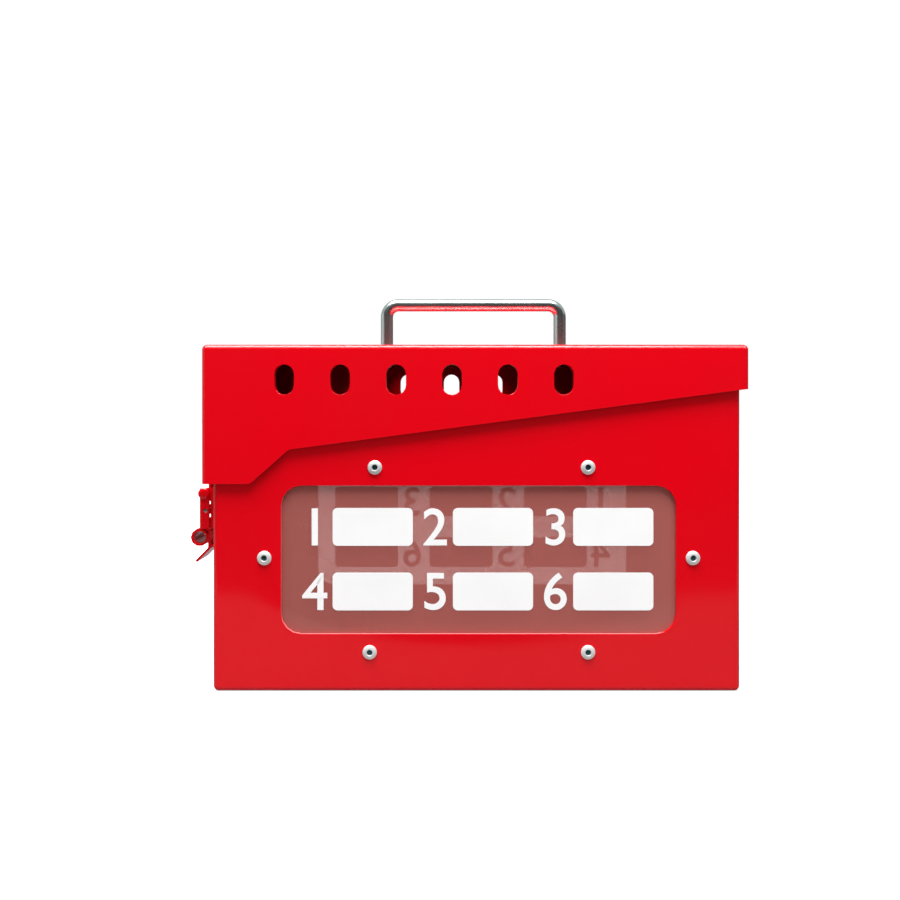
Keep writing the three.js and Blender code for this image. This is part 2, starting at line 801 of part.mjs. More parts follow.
function addBody() {
  addPiece(bodyGroup, 'body_shell', bodyShell(), 'redCoat');
  const grip = sheet + seat + panelThickness;
  const rivet = blindRivet(grip);
  for (const [side, sign] of [['front', -1], ['back', 1]]) {
    const panelPlace = halfDepth - sheet - seat - panelThickness / 2;
    const panel = addPiece(bodyGroup, `window_${side}`, windowPanel(), 'clearPlastic');
    panel.position.set(windowShift, sign * panelPlace, windowFloor + windowHeight / 2);
    windowRivetPlaces().forEach(([x, z], i) => {
      const piece = addPiece(bodyGroup, `window_rivet_${side}_${i + 1}`, rivet, 'rivetMetal');
      piece.position.set(x, sign * halfDepth, z);
      piece.rotation.z = sign > 0 ? 0 : Math.PI;
    });
  }
}

function addHinge() {
  addPiece(bodyGroup, 'hinge_leaf_body', bodyLeaf(), 'redCoat');
  addPiece(bodyGroup, 'hinge_pin', hingePin(), 'brightSteel');
  addPiece(lidGroup, 'hinge_leaf_lid', lidLeaf(), 'redCoat');
  const bodyRivet = solidRivet(studRadius, sheet + seat + leafSheet);
  hingeRows.forEach((y, i) => {
    const low = addPiece(bodyGroup, `hinge_rivet_body_${i + 1}`, bodyRivet, 'rivetMetal');
    low.position.set(halfLength + seat + leafSheet, y, hingeAxis.y - bodyRivetDrop);
    low.rotation.z = -Math.PI / 2;
    const high = addPiece(lidGroup, `hinge_rivet_lid_${i + 1}`, bodyRivet, 'rivetMetal');
    high.position.set(lidHingeEnd, y, hingeAxis.y + lidRivetRise);
    high.rotation.z = -Math.PI / 2;
  });
}

function addLid() {
  addPiece(lidGroup, 'lid_shell', lidShell(), 'redCoat');
  addPiece(lidGroup, 'handle', handle(), 'brightSteel');
  handleFeet.forEach((x, i) => {
    const ring = addPiece(lidGroup, `handle_washer_${i + 1}`, washer(), 'brightSteel');
    ring.position.set(x, 0, lidUnderside - seat - washerThickness);
    const hex = addPiece(lidGroup, `handle_nut_${i + 1}`, nut(), 'brightSteel');
    hex.position.set(x, 0, lidUnderside - 2 * seat - washerThickness - nutHeight);
  });
}

function addLatch() {
  addPiece(latchGroup, 'latch_base', latchBase(), 'redCoat');
  addPiece(latchGroup, 'latch_lever', latchLever(), 'redCoat');
  addPiece(latchGroup, 'latch_claw', latchClaw(), 'redCoat');
  addPiece(latchGroup, 'latch_claw_pin', clawPin(), 'brightSteel');
  addPiece(lidGroup, 'latch_catch', latchCatch(), 'redCoat');
  const outer = leverWidth / 2;
  const inner = earsInside / 2;
  const pivot = solidRivet(pivotRadius, outer - inner);
  for (const [side, sign] of [['front', -1], ['back', 1]]) {
    const piece = addPiece(latchGroup, `lever_pivot_${side}`, pivot, 'rivetMetal');
    piece.position.set(leverPivot().x, sign * outer, leverPivot().y);
    piece.rotation.z = sign > 0 ? 0 : Math.PI;
  }
  const stud = solidRivet(studRadius, 2 * sheet + seat);
  baseRivetPlaces().forEach(([y, z], i) => {
    const piece = addPiece(latchGroup, `latch_base_rivet_${i + 1}`, stud, 'rivetMetal');
    piece.position.set(beside(seat + sheet, 0).x, y, z);
    piece.rotation.z = Math.PI / 2;
  });
  catchRivetPlaces().forEach((y, i) => {
    const piece = addPiece(lidGroup, `latch_catch_rivet_${i + 1}`, stud, 'rivetMetal');
    piece.position.set(lidLatchEnd - seat - sheet, y, catchRivetHeight);
    piece.rotation.z = Math.PI / 2;
  });
}

addBody();
addHinge();
addLid();
addLatch();

export default assembly;
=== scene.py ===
import json
import math

import bpy
import numpy as np
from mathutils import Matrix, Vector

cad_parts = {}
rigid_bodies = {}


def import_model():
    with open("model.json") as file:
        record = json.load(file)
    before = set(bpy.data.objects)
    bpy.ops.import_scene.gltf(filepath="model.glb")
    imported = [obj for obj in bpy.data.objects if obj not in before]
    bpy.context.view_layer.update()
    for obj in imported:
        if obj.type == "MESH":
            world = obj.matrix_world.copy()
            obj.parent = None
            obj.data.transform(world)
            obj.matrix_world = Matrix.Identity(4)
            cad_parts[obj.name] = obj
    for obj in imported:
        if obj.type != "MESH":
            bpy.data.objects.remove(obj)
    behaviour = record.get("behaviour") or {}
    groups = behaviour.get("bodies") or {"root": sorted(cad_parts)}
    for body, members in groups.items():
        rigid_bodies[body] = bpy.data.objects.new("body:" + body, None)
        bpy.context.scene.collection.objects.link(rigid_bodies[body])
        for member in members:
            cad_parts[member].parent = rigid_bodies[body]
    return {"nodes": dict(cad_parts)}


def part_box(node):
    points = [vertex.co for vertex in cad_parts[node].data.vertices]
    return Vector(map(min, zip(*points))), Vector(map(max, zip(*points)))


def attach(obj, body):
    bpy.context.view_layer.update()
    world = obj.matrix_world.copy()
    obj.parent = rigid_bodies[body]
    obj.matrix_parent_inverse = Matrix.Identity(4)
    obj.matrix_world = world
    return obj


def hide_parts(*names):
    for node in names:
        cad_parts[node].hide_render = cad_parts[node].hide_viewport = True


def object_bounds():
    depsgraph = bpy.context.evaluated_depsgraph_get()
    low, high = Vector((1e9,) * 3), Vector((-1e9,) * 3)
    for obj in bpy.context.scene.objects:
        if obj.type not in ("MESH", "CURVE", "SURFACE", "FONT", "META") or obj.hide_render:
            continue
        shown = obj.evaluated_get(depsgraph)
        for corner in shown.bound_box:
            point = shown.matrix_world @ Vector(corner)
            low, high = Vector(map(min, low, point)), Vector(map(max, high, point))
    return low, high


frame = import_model()
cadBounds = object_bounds()
mm = 0.001
print("frame loaded:", len(frame["nodes"]), "nodes")


# Meshes from arrays

def newPiece(name, points, faces, body, materials, nodes=(), lookOf=None, smooth=True):
    # points: an array of places in metres; faces: a list of index arrays, one for each face size
    mesh = bpy.data.meshes.new(name)
    corners = np.concatenate([f.ravel() for f in faces])
    sizes = np.concatenate([np.full(len(f), f.shape[1]) for f in faces])
    mesh.vertices.add(len(points))
    mesh.vertices.foreach_set("co", np.asarray(points, np.float32).ravel())
    mesh.loops.add(len(corners))
    mesh.loops.foreach_set("vertex_index", corners.astype(np.int32))
    mesh.polygons.add(len(sizes))
    mesh.polygons.foreach_set("loop_start", (np.cumsum(sizes) - sizes).astype(np.int32))
    mesh.polygons.foreach_set("use_smooth", np.full(len(sizes), smooth))
    for material in materials:
        mesh.materials.append(material)
    if lookOf is not None:
        mesh.polygons.foreach_set("material_index", lookOf.astype(np.int32))
    mesh.update(calc_edges=True)
    mesh.validate()
    piece = bpy.data.objects.new(name, mesh)
    bpy.context.scene.collection.objects.link(piece)
    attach(piece, body)
    if nodes:
        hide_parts(*nodes)
    return piece


def gridFaces(rows, columns):
    # quads between neighbouring rows of points, the columns closing on themselves
    row, column = np.meshgrid(np.arange(rows - 1), np.arange(columns), indexing="ij")
    after = (column + 1) % columns
    here, below = row * columns, (row + 1) * columns
    return np.stack([here + column, here + after, below + after, below + column], axis=-1).reshape(-1, 4)


def revolved(profile, centre, direction, sides):
    # radius and height along the profile, turned about an axis: centre + h*direction + r*(cos*u + sin*v)
    profile = np.asarray(profile, float) * mm
    direction = np.asarray(direction, float)
    u = np.cross(direction, (0, 0, 1.0))
    u = u / np.linalg.norm(u) if np.linalg.norm(u) > 0.5 else np.array((1.0, 0, 0))
    v = np.cross(direction, u)
    angle = np.linspace(0, 2 * np.pi, sides, endpoint=False)
    ring = np.cos(angle)[:, None] * u + np.sin(angle)[:, None] * v
    points = np.asarray(centre) + profile[:, None, 1, None] * direction + profile[:, None, 0, None] * ring
    return points.reshape(-1, 3), gridFaces(len(profile), sides)


def softened(profile, rounds):
    # corner cutting: every corner of the profile is replaced by points at 1/4 and 3/4 of its edges
    profile = np.asarray(profile, float)
    for _ in range(rounds):
        near = profile[:-1] * 0.75 + profile[1:] * 0.25
        far = profile[:-1] * 0.25 + profile[1:] * 0.75
        profile = np.concatenate([profile[:1], np.stack([near, far], axis=1).reshape(-1, 2), profile[-1:]])
    return profile


weldGrid = 0.001 * mm  # vertices whose places round to the same point of this grid become one


def joinedCopy(node, name, body, material, easing):
    # the CAD node's loose triangles with equal places made one vertex, then its sheared edges eased
    source = frame["nodes"][node].data
    places = np.empty(len(source.vertices) * 3, np.float32)
    source.vertices.foreach_get("co", places)
    corners = np.empty(len(source.loops), np.int32)
    source.loops.foreach_get("vertex_index", corners)
    places = places.reshape(-1, 3).astype(float)
    kept, same = np.unique(np.round(places / weldGrid), axis=0, return_inverse=True)
    triangles = same.ravel()[corners].reshape(-1, 3)
    whole = (triangles != np.roll(triangles, 1, axis=1)).all(axis=1)
    piece = newPiece(name, kept * weldGrid, [triangles[whole]], body, [material], [node])
    flat = piece.modifiers.new("flatPanels", "DECIMATE")
    flat.decimate_type = "DISSOLVE"
    flat.angle_limit = math.radians(easing["flatAngle"])
    ease = piece.modifiers.new("easedEdges", "BEVEL")
    ease.width = easing["width"] * mm
    ease.segments = easing["segments"]
    ease.limit_method = "ANGLE"
    ease.angle_limit = math.radians(easing["sharpAngle"])
    ease.use_clamp_overlap = True
    shade = piece.modifiers.new("flatShading", "WEIGHTED_NORMAL")
    shade.weight = 100
    shade.keep_sharp = False
    return piece


# Materials

def nodeGroup(name, inputs, outputs):
    group = bpy.data.node_groups.new(name, "ShaderNodeTree")
    for label, kind, value in inputs:
        socket = group.interface.new_socket(label, in_out="INPUT", socket_type=kind)
        socket.default_value = value
    for label, kind in outputs:
        group.interface.new_socket(label, in_out="OUTPUT", socket_type=kind)
    return group, group.nodes.new("NodeGroupInput"), group.nodes.new("NodeGroupOutput")


def mapRange(group, source, low, high, toLow, toHigh):
    node = group.nodes.new("ShaderNodeMapRange")
    for socket, value in zip(node.inputs[1:5], (low, high, toLow, toHigh)):
        if isinstance(value, (int, float)):
            socket.default_value = value
        else:
            group.links.new(value, socket)
    group.links.new(source, node.inputs[0])
    return node.outputs[0]


def noiseAt(group, scale, detail, roughness=0.5):
    place = group.nodes.new("ShaderNodeTexCoord").outputs["Object"]
    noise = group.nodes.new("ShaderNodeTexNoise")
    noise.inputs["Detail"].default_value = detail
    noise.inputs["Roughness"].default_value = roughness
    if isinstance(scale, (int, float)):
        noise.inputs["Scale"].default_value = scale
    else:
        group.links.new(scale, noise.inputs["Scale"])
    group.links.new(place, noise.inputs["Vector"])
    return noise.outputs["Fac"]


peelValues = {
    "waveDetail": 1.0,
    "waveRoughness": 0.4,
    "rippleScale": 2600.0,
    "rippleDetail": 2.0,
    "rippleShare": 0.18,
}


def orangePeelGroup(values):
    # the cured powder's skin: broad waves with finer ripples on them, as a normal
    floatKind, vectorKind = "NodeSocketFloat", "NodeSocketVector"
    group, given, out = nodeGroup(
        "orangePeel",
        [("Scale", floatKind, 700.0), ("Depth", floatKind, 0.00002)],
        [("Normal", vectorKind)],
    )
    wide = noiseAt(group, given.outputs["Scale"], values["waveDetail"], values["waveRoughness"])
    fine = noiseAt(group, values["rippleScale"], values["rippleDetail"])
    both = group.nodes.new("ShaderNodeMath")
    both.operation = "MULTIPLY_ADD"
    both.inputs[1].default_value = values["rippleShare"]
    group.links.new(fine, both.inputs[0])
    group.links.new(wide, both.inputs[2])
    bump = group.nodes.new("ShaderNodeBump")
    bump.inputs["Strength"].default_value = 1.0
    group.links.new(given.outputs["Depth"], bump.inputs["Distance"])
    group.links.new(both.outputs[0], bump.inputs["Height"])
    group.links.new(bump.outputs[0], out.inputs["Normal"])
    return group


driftValues = {
    "slowDetail": 3.0,
    "slowRange": (0.35, 0.65),
    "speckScale": 420.0,
    "speckDetail": 4.0,
    "speckRoughness": 0.7,
    "speckShare": 0.35,
    "mixedRange": (0.1, 1.2),
}


def driftGroup(values):
    # slow drifts in a finish: a mask between 0 and 1, and a roughness between two given ones
    floatKind = "NodeSocketFloat"
    group, given, out = nodeGroup(
        "finishDrift",
        [("Scale", floatKind, 14.0), ("Smoothest", floatKind, 0.2), ("Roughest", floatKind, 0.3)],
        [("Mask", floatKind), ("Roughness", floatKind)],
    )
    slow = noiseAt(group, given.outputs["Scale"], values["slowDetail"])
    speck = noiseAt(group, values["speckScale"], values["speckDetail"], values["speckRoughness"])
    mask = mapRange(group, slow, *values["slowRange"], 0.0, 1.0)
    mixed = group.nodes.new("ShaderNodeMath")
    mixed.operation = "MULTIPLY_ADD"
    mixed.inputs[1].default_value = values["speckShare"]
    group.links.new(speck, mixed.inputs[0])
    group.links.new(mask, mixed.inputs[2])
    ends = given.outputs["Smoothest"], given.outputs["Roughest"]
    rough = mapRange(group, mixed.outputs[0], *values["mixedRange"], *ends)
    group.links.new(mask, out.inputs["Mask"])
    group.links.new(rough, out.inputs["Roughness"])
    return group


def boxMaskGroup():
    # a mask that is 1 inside an upright box and 0 outside it
    floatKind, vectorKind = "NodeSocketFloat", "NodeSocketVector"
    group, given, out = nodeGroup(
        "boxMask",
        [
            ("Middle", vectorKind, (0, 0, 0)),
            ("Half", vectorKind, (0.1, 0.1, 0.1)),
            ("Blend", floatKind, 0.0001),
        ],
        [("Mask", floatKind)],
    )
    place = group.nodes.new("ShaderNodeTexCoord").outputs["Object"]
    steps = [("SUBTRACT", given.outputs["Middle"]), ("ABSOLUTE", None), ("SUBTRACT", given.outputs["Half"])]
    for operation, other in steps:
        step = group.nodes.new("ShaderNodeVectorMath")
        step.operation = operation
        group.links.new(place, step.inputs[0])
        if other is not None:
            group.links.new(other, step.inputs[1])
        place = step.outputs[0]
    axes = group.nodes.new("ShaderNodeSeparateXYZ")
    group.links.new(place, axes.inputs[0])
    farthest = axes.outputs[0]
    for axis in (1, 2):
        larger = group.nodes.new("ShaderNodeMath")
        larger.operation = "MAXIMUM"
        group.links.new(farthest, larger.inputs[0])
        group.links.new(axes.outputs[axis], larger.inputs[1])
        farthest = larger.outputs[0]
    mask = mapRange(group, farthest, 0.0, given.outputs["Blend"], 1.0, 0.0)
    group.links.new(mask, out.inputs["Mask"])
    return group


facingValues = {"dotRange": (0.1, 0.5)}


def facingGroup(values):
    # how far a surface turns towards a given direction, from 0 to 1
    group, given, out = nodeGroup(
        "facing",
        [("Direction", "NodeSocketVector", (0, 0, 1))],
        [("Mask", "NodeSocketFloat")],
    )
    normal = group.nodes.new("ShaderNodeTexCoord").outputs["Normal"]
    along = group.nodes.new("ShaderNodeVectorMath")
    along.operation = "DOT_PRODUCT"
    group.links.new(normal, along.inputs[0])
    group.links.new(given.outputs["Direction"], along.inputs[1])
    mask = mapRange(group, along.outputs["Value"], *values["dotRange"], 0.0, 1.0)
    group.links.new(mask, out.inputs["Mask"])
    return group


def plainMaterial(name, socketValues):
    material = bpy.data.materials.new(name)
    material.use_nodes = True
    shader = material.node_tree.nodes["Principled BSDF"]
    for socket, value in socketValues.items():
        shader.inputs[socket].default_value = value
    return material, material.node_tree, shader


def useGroup(tree, group, values):
    node = tree.nodes.new("ShaderNodeGroup")
    node.node_tree = group
    for socket, value in values.items():
        node.inputs[socket].default_value = value
    return node


def twoTones(tree, mask, first, second, shader):
    mix = tree.nodes.new("ShaderNodeMix")
    mix.data_type = "RGBA"
    mix.inputs["A"].default_value = (*first, 1)
    mix.inputs["B"].default_value = (*second, 1)
    tree.links.new(mask, mix.inputs["Factor"])
    tree.links.new(mix.outputs["Result"], shader.inputs["Base Color"])


redCoatLook = {
    "tone": (0.74, 0.0003, 0.0068),
    "deepTone": (0.71, 0.0002, 0.0064),
    "specular": 0.34,
    "driftScale": 14.0,
    "smoothest": 0.09,
    "roughest": 0.15,
    "peelScale": 620.0,
    "peelDepth": 0.000008,
    # painted shade: the darker tone laid on the shells' inner faces
    "paintedShadeTone": (0.42, 0.0002, 0.004),
    # painted highlight: the pale tone on the window rim's edges that face up and towards +x
    "rimHighlightTone": (0.98, 0.20, 0.21),
    "rimHighlightFacing": (1.4, 0.0, 0.8),
}
brightLook = {
    "metallic": 1.0,
    "tone": (0.66, 0.80, 0.78),
    "dullTone": (0.56, 0.69, 0.67),
    "driftScale": 40.0,
    "smoothest": 0.24,
    "roughest": 0.30,
}
rivetLook = {
    "metallic": 0.5,
    "tone": (0.86, 0.86, 0.85),
    "dullTone": (0.76, 0.79, 0.78),
    "driftScale": 160.0,
    "smoothest": 0.45,
    "roughest": 0.60,
}
# the broken stem's steel, darkened further as painted shade for the hollow in the rivet's head
stubAndShadeLook = {
    "metallic": 0.8,
    "tone": (0.05, 0.13, 0.15),
    "dullTone": (0.02, 0.06, 0.08),
    "driftScale": 300.0,
    "smoothest": 0.40,
    "roughest": 0.60,
}
windowLook = {
    # the sheet's pinkish tone is partly painted light: it stands in for the red light from the box's inside
    # that the milky sheet shows
    "tone": (0.54, 0.155, 0.135),
    "refraction": 1.49,
    "clearest": 0.54,
    "mistiest": 0.60,
    "driftScale": 9.0,
    "smoothest": 0.05,
    "roughest": 0.14,
}
inkLook = {
    "tone": (0.97, 0.97, 0.97),
    "thinTone": (0.94, 0.94, 0.94),
    "specular": 0.3,
    "driftScale": 60.0,
    "smoothest": 0.35,
    "roughest": 0.50,
}

orangePeel = orangePeelGroup(peelValues)
finishDrift = driftGroup(driftValues)
boxMask = boxMaskGroup()
turnedTo = facingGroup(facingValues)


def drifting(tree, shader, look):
    # roughness that drifts between the look's two values; the drift's mask is handed back
    values = {"Scale": look["driftScale"], "Smoothest": look["smoothest"], "Roughest": look["roughest"]}
    drift = useGroup(tree, finishDrift, values)
    tree.links.new(drift.outputs["Roughness"], shader.inputs["Roughness"])
    return drift.outputs["Mask"]


def coatMaterial(look):
    material, tree, shader = plainMaterial("redPowderCoat", {"Specular IOR Level": look["specular"]})
    twoTones(tree, drifting(tree, shader, look), look["tone"], look["deepTone"], shader)
    peel = useGroup(tree, orangePeel, {"Scale": look["peelScale"], "Depth": look["peelDepth"]})
    tree.links.new(peel.outputs["Normal"], shader.inputs["Normal"])
    return material


def toneOver(tree, shader, mask, tone):
    # a tone laid over the base colour where the mask is 1
    under = shader.inputs["Base Color"].links[0].from_socket
    mix = tree.nodes.new("ShaderNodeMix")
    mix.data_type = "RGBA"
    mix.inputs["B"].default_value = (*tone, 1)
    tree.links.new(mask, mix.inputs["Factor"])
    tree.links.new(under, mix.inputs["A"])
    tree.links.new(mix.outputs["Result"], shader.inputs["Base Color"])


def product(tree, *masks):
    result = masks[0]
    for mask in masks[1:]:
        times = tree.nodes.new("ShaderNodeMath")
        times.operation = "MULTIPLY"
        tree.links.new(result, times.inputs[0])
        tree.links.new(mask, times.inputs[1])
        result = times.outputs[0]
    return result


coatPlaces = {
    # in mm, from the shells' boxes: the coat's inner faces, which get painted shade, and the punched
    # window, whose rim gets a painted highlight
    "sheet": 1.15,
    "openReach": 5.0,
    "blend": 0.1,
    "window": {"length": 176.8, "height": 66.4, "floor": 25.9, "shift": 0.9, "margin": 0.65, "skin": 0.04},
}


def shellCoat(name, node, look, openEnd, punched=False):
    # the coat on a folded shell, open above (openEnd 1) or below (-1), with painted shade darkening its
    # inner faces and a painted highlight paling the edges of a punched window that face up and towards +x
    material = redCoat.copy()
    material.name = name
    tree = material.node_tree
    shader = tree.nodes["Principled BSDF"]
    low, high = (np.array(corner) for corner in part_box(node))
    sheet = coatPlaces["sheet"] * mm
    reach = coatPlaces["openReach"] * mm
    innerLow, innerHigh = low + sheet, high - sheet
    if openEnd > 0:
        innerHigh[2] = high[2] + reach
    else:
        innerLow[2] = low[2] - reach
    middle, half = (innerLow + innerHigh) / 2, (innerHigh - innerLow) / 2
    place = {"Middle": tuple(middle), "Half": tuple(half), "Blend": coatPlaces["blend"] * mm}
    inner = useGroup(tree, boxMask, place)
    # painted shade: the inner faces get the darker tone
    toneOver(tree, shader, inner.outputs["Mask"], look["paintedShadeTone"])
    if punched:
        opening = coatPlaces["window"]
        middle = (opening["shift"] * mm, 0.0, (low[2] + (opening["floor"] + opening["height"] / 2) * mm))
        half = np.array((opening["length"] / 2, 0, opening["height"] / 2)) + opening["margin"]
        half[1] = high[1] / mm - opening["skin"]
        place = {"Middle": middle, "Half": tuple(half * mm), "Blend": opening["skin"] * mm}
        # painted highlight: a pale tone only on the rim's faces turned up and towards +x, where light
        # catches
        rim = useGroup(tree, boxMask, place)
        turned = useGroup(tree, turnedTo, {"Direction": look["rimHighlightFacing"]})
        outside = mapRange(tree, inner.outputs["Mask"], 0.0, 1.0, 1.0, 0.0)
        paintedRimHighlight = product(tree, rim.outputs["Mask"], turned.outputs["Mask"], outside)
        toneOver(tree, shader, paintedRimHighlight, look["rimHighlightTone"])
    return material


def metalMaterial(name, look):
    material, tree, shader = plainMaterial(name, {"Metallic": look["metallic"]})
    twoTones(tree, drifting(tree, shader, look), look["tone"], look["dullTone"], shader)
    return material


def windowMaterial(look):
    base = {"Base Color": (*look["tone"], 1), "IOR": look["refraction"]}
    material, tree, shader = plainMaterial("clearSheet", base)
    mist = mapRange(tree, drifting(tree, shader, look), 0.0, 1.0, look["clearest"], look["mistiest"])
    tree.links.new(mist, shader.inputs["Alpha"])
    return material


def inkMaterial(look):
    material, tree, shader = plainMaterial("whiteInk", {"Specular IOR Level": look["specular"]})
    twoTones(tree, drifting(tree, shader, look), look["tone"], look["thinTone"], shader)
    return material


redCoat = coatMaterial(redCoatLook)
boxCoat = shellCoat("redPowderCoatBox", "body_shell", redCoatLook, 1, punched=True)
lidCoat = shellCoat("redPowderCoatLid", "lid_shell", redCoatLook, -1)
brightSteel = metalMaterial("brightSteel", brightLook)
rivetMetal = metalMaterial("rivetMetal", rivetLook)
stubSteelAndShade = metalMaterial("rivetStubAndShade", stubAndShadeLook)
clearSheet = windowMaterial(windowLook)
whiteInk = inkMaterial(inkLook)
print("materials made")


# Folded sheet pieces: the CAD's shapes with their sheared edges eased

sheetEasing = {"flatAngle": 0.3, "width": 0.6, "segments": 4, "sharpAngle": 40}
smallEasing = {"flatAngle": 0.3, "width": 0.25, "segments": 2, "sharpAngle": 40}
windowEasing = {"flatAngle": 0.3, "width": 0.15, "segments": 2, "sharpAngle": 40}

foldedPieces = [
    ("body_shell", "boxShell", "box", "red_powder_coat", boxCoat, sheetEasing),
    ("lid_shell", "lidShell", "lid", "red_powder_coat", lidCoat, sheetEasing),
    ("hinge_leaf_body", "hingeLeafLower", "box", "red_powder_coat", redCoat, smallEasing),
    ("hinge_leaf_lid", "hingeLeafUpper", "lid", "red_powder_coat", redCoat, smallEasing),
    ("latch_base", "latchBase", "box", "red_powder_coat", redCoat, smallEasing),
    ("latch_lever", "latchLever", "lever", "red_powder_coat", redCoat, smallEasing),
    ("latch_claw", "latchClaw", "claw", "red_powder_coat", redCoat, smallEasing),
    ("latch_catch", "latchCatch", "lid", "red_powder_coat", redCoat, smallEasing),
    ("window_front", "windowSheetFront", "box", "frosted_window", clearSheet, windowEasing),
    ("window_back", "windowSheetBack", "box", "frosted_window", clearSheet, windowEasing),
    ("handle_washer_1", "handleWasher1", "lid", "bright_wire", brightSteel, windowEasing),
    ("handle_washer_2", "handleWasher2", "lid", "bright_wire", brightSteel, windowEasing),
    ("handle_nut_1", "handleNut1", "lid", "bright_wire", brightSteel, smallEasing),
    ("handle_nut_2", "handleNut2", "lid", "bright_wire", brightSteel, smallEasing),
]
for node, name, body, slot, material, easing in foldedPieces:
    joinedCopy(node, name, body, material, easing)
print("folded pieces:", len(foldedPieces))


# Carrying handle

handleValues = {
    "wireRadius": 3.1,
    "threadRadius": 2.4,
    "threadDepth": 0.28,
    "threadPitch": 0.8,
    "bendRadius": 6.0,
    "shoulder": 0.1,
    "chamfer": 0.3,
    "chamferRows": (1.0, 1.5),
    "sides": 48,
    "bendSteps": 24,
    "threadSteps": 60,
    "legSteps": 10,
}


def handleWire(values):
    # a round section of radius r(s, angle) carried along the bent centre line, with a helical thread on
    # both ends; two more rows at each leg's foot make its chamfer
    low, high = (np.array(corner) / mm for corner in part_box("handle"))
    side = high[0] - values["wireRadius"]
    top = high[2] - values["wireRadius"]
    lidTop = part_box("lid_shell")[1][2] / mm
    foot = lidTop + values["shoulder"]
    bend = values["bendRadius"]
    thread = np.linspace(low[2], foot, values["threadSteps"])
    leg = np.linspace(foot, top - bend, values["legSteps"], endpoint=False)
    leg = np.insert(leg, 1, foot + values["chamfer"] * np.array(values["chamferRows"]))
    turn = np.linspace(0, np.pi / 2, values["bendSteps"])
    # right half of the centre line: distance from the middle, height, and the lean of the section's u axis
    x = np.concatenate([np.full(len(thread) + len(leg), side), side - bend + bend * np.cos(turn)])
    z = np.concatenate([thread, leg, top - bend + bend * np.sin(turn)])
    lean = np.concatenate([np.zeros(len(thread) + len(leg)), turn])
    isThread = np.arange(len(x)) < len(thread)
    x, z = np.concatenate([x, -x[::-1]]), np.concatenate([z, z[::-1]])
    lean = np.concatenate([lean, np.pi - lean[::-1]])
    isThread = np.concatenate([isThread, isThread[::-1]])
    angle = np.linspace(0, 2 * np.pi, values["sides"], endpoint=False)
    helix = (z[:, None] / values["threadPitch"] + angle[None, :] / (2 * np.pi)) % 1.0
    ridge = values["threadRadius"] - values["threadDepth"] * np.abs(2 * helix - 1)
    radius = np.where(isThread[:, None], ridge, values["wireRadius"])
    radius[np.isclose(z, foot) & ~isThread] -= values["chamfer"]
    out = radius * np.cos(angle)
    points = np.stack([
        x[:, None] + out * np.cos(lean)[:, None],
        radius * np.sin(angle),
        z[:, None] + out * np.sin(lean)[:, None],
    ], axis=-1)
    count = values["sides"]
    caps = [np.arange(count)[None, ::-1], (np.arange(count) + (len(x) - 1) * count)[None, :]]
    # the shoulders: where the wire steps down to its thread, the rows of points simply follow each other
    faces = [gridFaces(len(x), count), *caps]
    points = points.reshape(-1, 3) * mm
    return newPiece("handleWire", points, faces, "lid", [brightSteel], ["handle"])


handleWire(handleValues)
print("handle made")


# Rivets

rivetCounts = {"window": 6, "hingeLeaf": 3, "latchBase": 4, "latchCatch": 2}
blindRivetProfile = {
    # radius and height in mm, from the closed tail inside the box up to the stub inside the head
    "tail": [(0.0, -6.0), (1.1, -6.0), (1.75, -5.7), (2.45, -5.1), (2.5, -4.5), (2.1, -3.75), (1.6, -3.45)],
    "head": [
        (1.6, 0.1), (3.05, 0.1), (3.2, 0.22), (3.2, 0.42),
        (2.9, 0.66), (2.3, 0.93), (1.75, 1.08), (1.4, 1.1),
    ],
    "well": [(1.32, 0.98), (1.26, 0.7), (1.24, 0.45)],
    "stub": [(1.2, 0.44), (1.05, 0.6), (0.7, 0.56), (0.35, 0.66), (0.0, 0.62)],
    "sides": 40,
}
studProfile = {
    "tail": [(0.0, -0.6), (1.9, -0.6), (2.25, -0.45), (2.3, -0.1), (1.5, -0.02)],
    "tailLength": 0.6,
    "headHeight": 1.0,
    "head": [
        (1.5, 0.1), (2.72, 0.1), (2.8, 0.2), (2.76, 0.4),
        (2.35, 0.72), (1.6, 0.93), (0.8, 1.0), (0.0, 1.0),
    ],
    "sides": 32,
}


def blindRivet(node, name, facing, seatY):
    # the profile turned about an axis along Y, with the stub that is left in the head in its own metal,
    # whose very dark tone also paints the shade in the head's hollow
    profile = blindRivetProfile
    middle = np.mean(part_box(node), axis=0)
    steel = softened(profile["tail"] + profile["head"] + profile["well"], 1)
    stub = softened(profile["stub"], 1)
    whole = np.concatenate([steel, stub])
    centre = (middle[0], seatY, middle[2])
    points, quads = revolved(whole, centre, (0, facing, 0), profile["sides"])
    look = np.arange(len(quads)) // profile["sides"] >= len(steel) - 1
    return newPiece(name, points, [quads], "box", [rivetMetal, stubSteelAndShade], [node], look)


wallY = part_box("body_shell")[1][1]
for side, facing in (("front", -1), ("back", 1)):
    for i in range(1, rivetCounts["window"] + 1):
        name = f"windowRivet{side.capitalize()}{i}"
        blindRivet(f"window_rivet_{side}_{i}", name, facing, facing * wallY)


def studRivet(node, name, body, facing):
    # a solid rivet: its domed head stands on the piece, its shank runs through to a flattened tail
    low, high = (np.array(corner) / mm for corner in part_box(node))
    axis = int(np.argmax(np.abs(facing)))
    way = facing[axis]
    headTop = (high if way > 0 else low)[axis]
    tailEnd = (low if way > 0 else high)[axis]
    length = abs(headTop - tailEnd)
    grip = length - studProfile["headHeight"] - studProfile["tailLength"]
    head = np.array(studProfile["head"])
    tail = np.array(studProfile["tail"]) - (0, grip)
    centre = (low + high) / 2
    centre[axis] = headTop - way * studProfile["headHeight"]
    profile = softened(np.concatenate([tail, head]), 1)
    points, quads = revolved(profile, centre * mm, facing, studProfile["sides"])
    return newPiece(name, points, [quads], body, [redCoat], [node])


